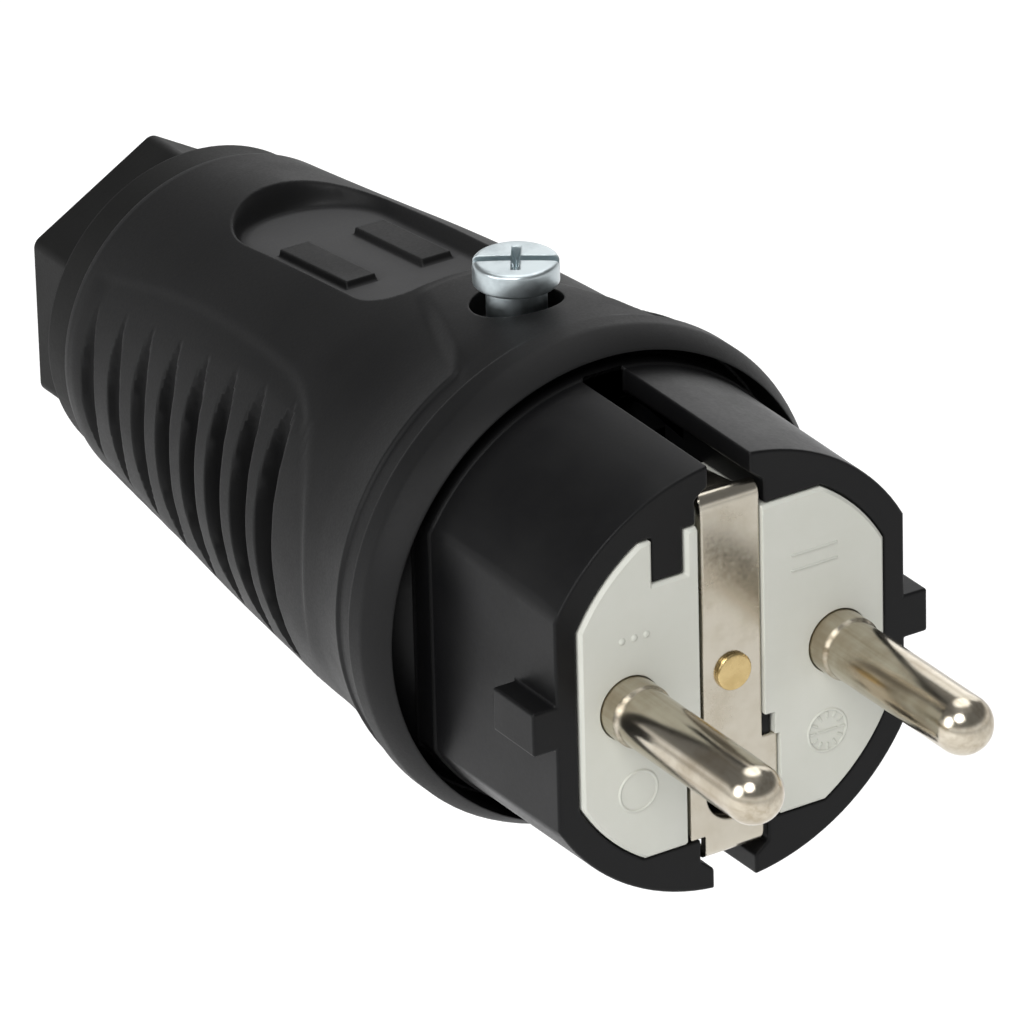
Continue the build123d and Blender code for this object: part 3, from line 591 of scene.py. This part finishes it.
def housingColumns(plan):
    angles = [0.0]
    for end, step in plan["columns"]:
        count = round((end - angles[-1]) / step)
        angles.extend(np.linspace(angles[-1], end, count + 1)[1:])
    side = np.radians(angles)
    return np.concatenate((side, -side[-2:0:-1]))


# on top the columns run straight, in line with the sides of the pocket
def straightenColumns(radius, angle, plan):
    size = np.abs(angle)
    middle, strip = plan["middleRadius"], plan["straightStrip"]
    edge, movedEdge = np.arcsin(strip / middle), np.arcsin(strip / radius)
    onTop = np.arcsin(np.clip(middle * np.sin(size) / radius, 0, 1))
    below = movedEdge + (size - edge) * (math.pi - movedEdge) / (math.pi - edge)
    return np.sign(angle) * np.where(size < edge, onTop, below)


def panelDepth(radius, y, angle, plan):
    tip, front, rear = plan["span"]
    z = np.abs(radius * np.cos(angle))
    across = np.abs(np.sin(angle))
    frontHalf, rearHalf = plan["halfHeight"]
    half = frontHalf + (rearHalf - frontHalf) * ((y - front) / (rear - front)) ** 2
    back = np.clip((front - y) / (front - tip), 0, None)
    power = plan["noseCurve"]
    value = 1 - back ** power - (z / frontHalf) ** 2
    slope = np.hypot(power * back ** (power - 1) / (front - tip), 2 * z / frontHalf ** 2) + 1e-9
    inside = np.where(y < front, value / slope, half - z)
    inside = np.minimum(inside, (rear - y) / plan["rearFade"] * plan["edge"])
    centre = plan["frontX"] - plan["round"] - plan["lean"] * (y - front)
    reach = np.clip(plan["round"] ** 2 - (centre * np.cos(angle)) ** 2, 0, None)
    flat = centre * across + np.sqrt(reach)
    return np.maximum(radius - flat, plan["least"]) * smoothStep(inside / plan["edge"])


# share of the pad at each point, and how far it stands out of the skin
def padRise(radius, y, angle, plan):
    front, top = plan["front"]
    run = np.clip(y - front, 0, None)
    inside = plan["halfWidth"] - plan["narrowing"] * run - np.abs(radius * np.sin(angle))
    inside = np.where((np.cos(angle) < 0) | (y < front), -plan["edge"], inside)
    share = smoothStep(inside / plan["edge"] + 0.5) * smoothStep((plan["end"] - y) / plan["rearFade"])
    height = top - plan["fall"][0] * run - plan["fall"][1] * run ** 2
    return share, share * np.clip(height - radius, 0, None)


def collarGroove(radius, y, angle, onPad, plan):
    low, high = plan["span"]
    near, far = plan["fade"]
    aside = np.where(np.cos(angle) > 0, smoothStep((np.abs(radius * np.sin(angle)) - near) / (far - near)), 1)
    run = plan["padRun"] * onPad
    share = smoothStep((y - low) / plan["edge"]) * smoothStep((high + run - y) / (plan["edge"] + run))
    return plan["depth"] * share * aside


def pocketHeight(x, y, z, plan):
    front, back = plan["span"]
    middle, halfLength = (front + back) / 2, (back - front) / 2
    corner = np.where(y < middle, *plan["corners"])
    side = np.abs(x) - plan["halfWidth"] + corner
    end = np.abs(y - middle) - halfLength + corner
    pastCorner = np.hypot(np.clip(side, 0, None), np.clip(end, 0, None))
    outside = np.minimum(np.maximum(side, end), 0) + pastCorner - corner
    wall = smoothMax(0 * outside, outside / math.tan(math.radians(plan["wallAngle"])), plan["floorRound"])
    tablets = plan["tablets"]
    tabletMiddle = sum(tablets["span"]) / 2
    tabletHalf = tablets["span"][1] - tabletMiddle
    across = tablets["halfWidth"] - np.abs(np.abs(x) - tablets["x"])
    onTablet = np.minimum(across, tabletHalf - np.abs(y - tabletMiddle))
    tablet = smoothStep(onTablet / tablets["edge"] + 0.5)
    floor = plan["floorZ"] - plan["lean"] * (y - middle) + wall + tablets["height"] * tablet
    besideTablet = smoothStep(-onTablet / tablets["edge"] - 0.5)
    onFloor = np.where(z > 0, smoothStep(-outside / plan["floorRound"]) * besideTablet, 0)
    return np.where(z > 0, smoothMin(z, floor, plan["rimRound"]), z), onFloor


def makeHousing():
    rings, outer = housingRings(housingPlan)
    columns = housingColumns(housingPlan)
    radius = np.repeat(rings[:, :1], len(columns), axis=1)
    y = np.repeat(rings[:, 1:], len(columns), axis=1)
    angle = np.repeat(columns[None, :], len(rings), axis=0)
    skin, skinY = radius[:outer], y[:outer]
    skinAngle = straightenColumns(skin, angle[:outer], housingPlan)
    angle[:outer] = skinAngle
    onPad, rise = padRise(skin, skinY, skinAngle, padPlan)
    sunk = panelDepth(skin, skinY, skinAngle, panelPlan)
    sunk = sunk + collarGroove(skin, skinY, skinAngle, onPad, collarGroovePlan)
    radius[:outer] = skin + rise - sunk
    x, z = radius * np.sin(angle), radius * np.cos(angle)
    pocketFloor = np.zeros(radius.shape)
    z[:outer], pocketFloor[:outer] = pocketHeight(x[:outer], skinY, z[:outer], pocketPlan)
    points = np.stack((x, y, z), axis=2).reshape(-1, 3) * mm
    ringCount, columnCount = radius.shape
    faces = []
    for ring in range(ringCount):
        following = (ring + 1) % ringCount
        for column in range(columnCount):
            beside = (column + 1) % columnCount
            faces.append((ring * columnCount + column, ring * columnCount + beside,
                          following * columnCount + beside, following * columnCount + column))
    mesh = bpy.data.meshes.new("softHousing")
    mesh.from_pydata(points.tolist(), [], faces)
    mesh.attributes.new("pocketFloor", "FLOAT", "POINT").data.foreach_set("value", pocketFloor.ravel())
    return linkObject("softHousing", mesh)


# straight grooves across both grips, cut by a rule on the distance to the nearest groove

groovePlan = {
    "Count": 8,
    "First Y": 71.1 * mm,
    "Pitch": 4.55 * mm,
    "Bottom Radius": 1.0 * mm,
    "Least Radius": 0.22 * mm,
    "Taper": 0.75,
    "Wall Slope": 4.5,
    "Rear Floor": 13.7 * mm,
    "Front Floor": 14.75 * mm,
    "Edge Round": 0.4 * mm,
}


def makeGrooveTree(sizes):
    tree, given = newGeometryTree("gripGrooves", sizes)

    def do(operation, *values):
        return calc(tree, operation, *values)

    place = addNode(tree, "GeometryNodeInputPosition").outputs[0]
    x, y, z = addNode(tree, "ShaderNodeSeparateXYZ", {0: place}).outputs
    outward = do("ABSOLUTE", x)
    last = do("SUBTRACT", given["Count"], 1.0)
    nearest = do("ROUND", do("DIVIDE", do("SUBTRACT", given["First Y"], y), given["Pitch"]))
    nearest = do("MINIMUM", do("MAXIMUM", nearest, 0.0), last)
    middle = do("SUBTRACT", given["First Y"], do("MULTIPLY", nearest, given["Pitch"]))
    away = do("ABSOLUTE", do("SUBTRACT", y, middle))
    share = do("DIVIDE", nearest, last)
    deeper = do("MULTIPLY", share, do("SUBTRACT", given["Front Floor"], given["Rear Floor"]))
    bottom = do("ADD", given["Rear Floor"], deeper)
    # a round bottom, smaller where the groove is shallow, runs into straight drafted walls
    depth = do("SUBTRACT", outward, bottom)
    wide = do("MAXIMUM", do("MULTIPLY", depth, given["Taper"]), given["Least Radius"])
    wide = do("MINIMUM", wide, given["Bottom Radius"])
    lean = do("SQRT", do("MULTIPLY_ADD", given["Wall Slope"], given["Wall Slope"], 1.0))
    turn = do("DIVIDE", do("MULTIPLY", wide, given["Wall Slope"]), lean)
    near = do("MINIMUM", away, turn)
    drop = do("SQRT", do("SUBTRACT", do("MULTIPLY", wide, wide), do("MULTIPLY", near, near)))
    wall = do("MULTIPLY", do("MAXIMUM", do("SUBTRACT", away, turn), 0.0), given["Wall Slope"])
    floor = do("ADD", bottom, do("ADD", do("SUBTRACT", wide, drop), wall))
    kept = do("SMOOTH_MIN", outward, floor, given["Edge Round"])
    moved = addNode(tree, "ShaderNodeCombineXYZ", {0: do("MULTIPLY", kept, do("SIGN", x)), 1: y, 2: z})
    shift = addNode(tree, "GeometryNodeSetPosition", {
        "Geometry": given["Geometry"], "Position": moved.outputs[0]})
    closeGeometryTree(tree, shift.outputs[0], given["Finish"])
    return tree


def cutScrewHole(piece, plan):
    bottom, floor, top = plan["bottom"], plan["headFloor"], plan["top"]
    shank, head = plan["shankRadius"], plan["headRadius"]
    profile = ((0, bottom), (shank, bottom), (shank, floor), (head, floor), (head, top), (0, top))
    # turned by half a facet, so that no corner falls on the housing's middle line
    place = Matrix.Translation((0, plan["y"] * mm, 0)) @ Matrix.Rotation(math.pi / plan["segments"], 4, "Z")
    cutAway(piece, latheMesh("screwHole", profile, plan["segments"], place))


softHousing = makeHousing()
runGeometryTree(softHousing, makeGrooveTree(groovePlan), groovePlan, finishes["housing_rubber"])
cutScrewHole(softHousing, screwHolePlan)
cleanMesh(softHousing.data, housingPlan["sharpAngle"])
handOver(softHousing, "housing")


# copies of hard pieces with their edges rounded over

mergePlan = {"distance": 0.002 * mm, "flatAngle": 0.3}


def mergedCopy(node, name):
    mesh = frame["nodes"][node].data.copy()
    normals = mesh.attributes.get("custom_normal")
    if normals:
        mesh.attributes.remove(normals)
    work = bmesh.new()
    work.from_mesh(mesh)
    bmesh.ops.remove_doubles(work, verts=work.verts, dist=mergePlan["distance"])
    flat = math.radians(mergePlan["flatAngle"])
    bmesh.ops.dissolve_limit(work, angle_limit=flat, verts=work.verts, edges=work.edges)
    work.to_mesh(mesh)
    work.free()
    return linkObject(name, mesh)


def addMeshes(piece, meshes):
    work = bmesh.new()
    work.from_mesh(piece.data)
    for mesh in meshes:
        work.from_mesh(mesh)
        bpy.data.meshes.remove(mesh)
    work.to_mesh(piece.data)
    work.free()


def roundEdges(piece, plan):
    bevel = piece.modifiers.new("edges", "BEVEL")
    bevel.width = plan["edge"]
    bevel.segments = plan["segments"]
    bevel.limit_method = "ANGLE"
    bevel.angle_limit = math.radians(plan["fromAngle"])
    bevel.use_clamp_overlap = False
    bakeModifiers(piece)


def boxMesh(low, high):
    mesh = bpy.data.meshes.new("box")
    work = bmesh.new()
    bmesh.ops.create_cube(work, size=1)
    low, high = Vector(low) * mm, Vector(high) * mm
    for vert in work.verts:
        vert.co = (low + high) / 2 + Vector(a * b for a, b in zip(vert.co, high - low))
    work.to_mesh(mesh)
    work.free()
    return mesh


nosePlan = {
    "edge": 0.22 * mm, "segments": 3, "fromAngle": 40, "sharpAngle": 32,
    # ring where the skirt enters the housing: span, modelled radius and half width, and the seen ones
    "ring": {"span": (17.65, 20.05), "modelled": (18.65, 16.15), "seen": (18.5, 16.0)},
    # two small black blocks on the nose fill the reliefs beside the strip, as painted shade in those deep
    # reliefs
    "keys": (((2.7, 0.5, -6.35), (3.6, 3.0, -4.4)), ((-3.6, 0.5, -6.35), (-2.7, 3.0, -4.4))),
}


def slimRing(mesh, plan):
    low, high = (value * mm for value in plan["span"])
    radius, half = (value * mm for value in plan["modelled"])
    seenRadius, seenHalf = (value * mm for value in plan["seen"])
    for vert in mesh.vertices:
        x, y, z = vert.co
        if low < y < high and math.hypot(x, z) > radius:
            vert.co.xz = Vector((x, z)).normalized() * seenRadius
        if low < y < high and abs(x) > half and abs(z) < half:
            vert.co.x = math.copysign(seenHalf, x)


nose = mergedCopy("nose", "hardNose")
slimRing(nose.data, nosePlan["ring"])
# black blocks put into the reliefs beside the strip, as painted shade
addMeshes(nose, [boxMesh(low, high) for low, high in nosePlan["keys"]])
roundEdges(nose, nosePlan)
finishNormals(nose, nosePlan["sharpAngle"])
handOver(nose, "nose")


strapPlan = {
    "edge": 0.1 * mm, "segments": 2, "fromAngle": 40, "sharpAngle": 32,
    # the tails drop behind the bend and come back at their ends
    "drop": 1.05, "dropSpan": (0.9, 2.6), "backSpan": (4.0, 9.5),
}


def dropTails(mesh, plan):
    for vert in mesh.vertices:
        y = vert.co.y / mm
        (start, end), (back, finish) = plan["dropSpan"], plan["backSpan"]
        share = smoothStep((y - start) / (end - start)) * (1 - smoothStep((y - back) / (finish - back)))
        vert.co.z -= math.copysign(plan["drop"] * mm * float(share), vert.co.z)


strap = mergedCopy("earth_strap", "earthStrip")
dropTails(strap.data, strapPlan)
roundEdges(strap, strapPlan)
finishNormals(strap, strapPlan["sharpAngle"])
handOver(strap, "earth_strap")


# brass rivet with a low head

rivetPlan = {"z": 0.2, "seat": 0.3, "head": 1.55, "headHeight": 0.42, "edge": 0.2,
             # radius and rise of the slight crown
             "crown": ((0, 0.02), (0.8, 0.015)),
             "shank": 1.25, "tail": 2.1, "tailStart": 12.7, "tailEnd": 13.6, "segments": 48}


def makeRivet(plan):
    seat, head, edge, shank = plan["seat"], plan["head"], plan["edge"], plan["shank"]
    start, end = plan["tailStart"], plan["tailEnd"]
    top = plan["headHeight"] - seat
    profile = [(radius, top + rise) for radius, rise in plan["crown"]]
    for turn in np.radians(range(90, -1, -15)):
        profile.append((head - edge * (1 - math.cos(turn)), top - edge * (1 - math.sin(turn))))
    profile += [(head, -seat), (shank, -seat), (shank, -start), (plan["tail"], -start), (shank, -end),
                (0, -end)]
    place = Matrix.Translation((0, 0, plan["z"] * mm)) @ Matrix.Rotation(math.pi / 2, 4, "X")
    rivet = linkObject("earthRivet", latheMesh("earthRivet", profile, plan["segments"], place))
    rivet.data.materials.append(finishes["brass"])
    handOver(rivet, "earth_rivet")


makeRivet(rivetPlan)


# loose housing screw: turned head, slot with cross recess, rolled thread

screwPlan = {
    "y": screwY, "seat": 21.5, "top": 23.5, "head": 3.4, "headTop": 2.95, "shoulder": 0.75, "crown": 0.06,
    "foot": 0.15, "neck": 2.4, "neckEnd": 17.6, "neckFillet": 0.25, "neckChamfer": 0.2, "core": 2.2,
    "tip": 8.8, "tipChamfer": (0.6, 0.7), "slotTurn": -34, "slot": (1.0, 0.75), "cross": (1.3, 4.6, 1.3),
    "crossPoint": (0.85, 0.04), "cutReach": 5, "cutRise": 1, "segments": 72, "sharpAngle": 28,
}
threadPlan = {"Middle Radius": 2.18 * mm, "Crest": 0.3 * mm, "Pitch": 0.8 * mm, "Start": 9.4 * mm,
              "Length": 8.0 * mm, "Place Y": screwY * mm}


def makeScrewBody(plan):
    seat, top, head, headTop = plan["seat"], plan["top"], plan["head"], plan["headTop"]
    profile = [(0, top)]
    for share in (0.4, 0.7, 0.9, 1.0):
        profile.append((headTop * share, top - plan["crown"] * share ** 2))
    shoulder = top - plan["crown"]
    wide, deep = head - headTop, (head - headTop) * plan["shoulder"]
    for turn in np.radians(range(75, -1, -15)):
        profile.append((headTop + wide * math.cos(turn), shoulder - deep * (1 - math.sin(turn))))
    foot = plan["foot"]
    for turn in np.radians(range(0, 91, 30)):
        profile.append((head - foot * (1 - math.cos(turn)), seat + foot * (1 - math.sin(turn))))
    core, tip, (inset, rise) = plan["core"], plan["tip"], plan["tipChamfer"]
    neck, neckEnd, fillet = plan["neck"], plan["neckEnd"], plan["neckFillet"]
    profile += [(neck + fillet, seat), (neck, seat - fillet), (neck, neckEnd),
                (core, neckEnd - plan["neckChamfer"]), (core, tip + rise), (core - inset, tip), (0, tip)]
    place = Matrix.Translation((0, plan["y"] * mm, 0))
    screw = linkObject("looseScrew", latheMesh("looseScrew", profile, plan["segments"], place))
    turned = place @ Matrix.Rotation(math.radians(plan["slotTurn"]), 4, "Z")
    reach, above = plan["cutReach"], top + plan["cutRise"]
    width, deep = plan["slot"]
    slot = boxMesh((-reach, -width / 2, shoulder - deep), (reach, width / 2, above))
    slot.transform(turned)
    cutAway(screw, slot)
    # the arms of the cross run down to a narrow bottom
    width, length, deep = plan["cross"]
    for step in (0, 90):
        arm = boxMesh((-length / 2, -width / 2, top - deep), (length / 2, width / 2, above))
        for vert in arm.vertices:
            if vert.co.z < top * mm:
                vert.co.x *= plan["crossPoint"][0]
                vert.co.y *= plan["crossPoint"][1]
        arm.transform(turned @ Matrix.Rotation(math.radians(step), 4, "Z"))
        cutAway(screw, arm)
    return screw


def makeThreadTree(sizes):
    tree, given = newGeometryTree("screwThread", sizes)
    turns = calc(tree, "DIVIDE", given["Length"], given["Pitch"])
    spiral = addNode(tree, "GeometryNodeCurveSpiral", {
        "Resolution": 36, "Rotations": turns, "Height": given["Length"],
        "Start Radius": given["Middle Radius"], "End Radius": given["Middle Radius"]})
    ridge = addNode(tree, "GeometryNodeCurvePrimitiveCircle", {"Resolution": 4, "Radius": given["Crest"]})
    sweep = addNode(tree, "GeometryNodeCurveToMesh", {
        "Curve": spiral.outputs[0], "Profile Curve": ridge.outputs["Curve"], "Fill Caps": True})
    place = addNode(tree, "ShaderNodeCombineXYZ", {"Y": given["Place Y"], "Z": given["Start"]})
    shift = addNode(tree, "GeometryNodeTransform", {
        "Geometry": sweep.outputs[0], "Translation": place.outputs[0]})
    both = addNode(tree, "GeometryNodeJoinGeometry", {0: given["Geometry"]})
    feed(tree, both.inputs[0], shift.outputs[0])
    closeGeometryTree(tree, both.outputs[0], given["Finish"])
    return tree


screw = makeScrewBody(screwPlan)
runGeometryTree(screw, makeThreadTree(threadPlan), threadPlan, finishes["zinc_steel"])
finishNormals(screw, screwPlan["sharpAngle"])
handOver(screw, "housing_screw")


# grey insert with plain moulding marks: a dial of ticks, an ejector ring, a row of dots and two bars

insertPlan = {
    "edge": 0.12 * mm, "segments": 2, "fromAngle": 50, "sharpAngle": 32,
    # gaps beside the earth strip, seen as dark lines
    "gaps": (((-3.1, -0.2, -6.2), (-2.5, 2.6, 14.4)), ((-4.45, -0.2, -14.6), (-3.9, 2.6, -6.4))),
}
markPlan = {
    "Line": 0.16 * mm,
    "Dial X": 8.4 * mm, "Dial Z": -7.4 * mm, "Dial Radius": 1.75 * mm, "Dial Ticks": 12,
    "Tick Length": 0.55 * mm,
    "Ring X": -8.9 * mm, "Ring Z": -7.3 * mm, "Ring Radius": 1.7 * mm,
    "Dot X": -10.1 * mm, "Dot Z": 5.8 * mm, "Dot Count": 3, "Dot Step": 1.1 * mm, "Dot Radius": 0.28 * mm,
    "Bar X": 7.4 * mm, "Bar Z": 7.2 * mm, "Bar Length": 4.2 * mm, "Bar Step": 1.3 * mm,
}


def makeMarkTree(sizes):
    tree, given = newGeometryTree("mouldingMarks", sizes)
    both = addNode(tree, "GeometryNodeJoinGeometry", {0: given["Geometry"]})

    # drawn flat, then stood up on the face that looks along -y
    def standUp(geometry, x, z):
        place = addNode(tree, "ShaderNodeCombineXYZ", {"X": given[x], "Z": given[z]})
        move = addNode(tree, "GeometryNodeTransform", {
            "Geometry": geometry, "Translation": place.outputs[0], "Rotation": (math.pi / 2, 0, 0)})
        feed(tree, both.inputs[0], move.outputs[0])

    def ring(radius):
        path = addNode(tree, "GeometryNodeCurvePrimitiveCircle", {"Resolution": 56, "Radius": radius})
        thin = calc(tree, "MULTIPLY", given["Line"], 0.7)
        edge = addNode(tree, "GeometryNodeCurvePrimitiveCircle", {"Resolution": 8, "Radius": thin})
        sweep = addNode(tree, "GeometryNodeCurveToMesh", {
            "Curve": path.outputs["Curve"], "Profile Curve": edge.outputs["Curve"]})
        return sweep.outputs[0]

    def bar(length):
        size = addNode(tree, "ShaderNodeCombineXYZ", {"X": length, "Y": given["Line"], "Z": given["Line"]})
        return addNode(tree, "GeometryNodeMeshCube", {"Size": size.outputs[0]}).outputs["Mesh"]

    def spread(points, shape, **turned):
        copies = addNode(tree, "GeometryNodeInstanceOnPoints", {
            "Points": points.outputs["Mesh"], "Instance": shape, **turned})
        return copies.outputs[0]

    standUp(ring(given["Dial Radius"]), "Dial X", "Dial Z")
    inner = calc(tree, "SUBTRACT", given["Dial Radius"], calc(tree, "MULTIPLY", given["Tick Length"], 0.75))
    ticks = addNode(tree, "GeometryNodeMeshCircle", {"Vertices": given["Dial Ticks"], "Radius": inner})
    place = addNode(tree, "GeometryNodeInputPosition").outputs[0]
    face = addNode(tree, "FunctionNodeAlignRotationToVector", {"Vector": place}, axis="X")
    standUp(spread(ticks, bar(given["Tick Length"]), Rotation=face.outputs[0]), "Dial X", "Dial Z")
    standUp(bar(given["Dial Radius"]), "Dial X", "Dial Z")
    standUp(ring(given["Ring Radius"]), "Ring X", "Ring Z")
    step = addNode(tree, "ShaderNodeCombineXYZ", {"X": given["Dot Step"]})
    row = addNode(tree, "GeometryNodeMeshLine", {"Count": given["Dot Count"], "Offset": step.outputs[0]})
    dot = addNode(tree, "GeometryNodeMeshUVSphere", {
        "Segments": 16, "Rings": 8, "Radius": given["Dot Radius"]})
    low = addNode(tree, "GeometryNodeTransform", {"Geometry": dot.outputs["Mesh"], "Scale": (1, 1, 0.45)})
    standUp(spread(row, low.outputs[0]), "Dot X", "Dot Z")
    apart = addNode(tree, "ShaderNodeCombineXYZ", {"Y": given["Bar Step"]})
    bars = addNode(tree, "GeometryNodeMeshLine", {"Count": 2, "Offset": apart.outputs[0]})
    standUp(spread(bars, bar(given["Bar Length"])), "Bar X", "Bar Z")
    closeGeometryTree(tree, both.outputs[0], given["Finish"])
    return tree


insert = mergedCopy("contact_carrier", "greyInsert")
for low, high in insertPlan["gaps"]:
    cutAway(insert, boxMesh(low, high))
roundEdges(insert, insertPlan)
runGeometryTree(insert, makeMarkTree(markPlan), markPlan, finishes["carrier_plastic"])
finishNormals(insert, insertPlan["sharpAngle"])
handOver(insert, "contact_carrier")
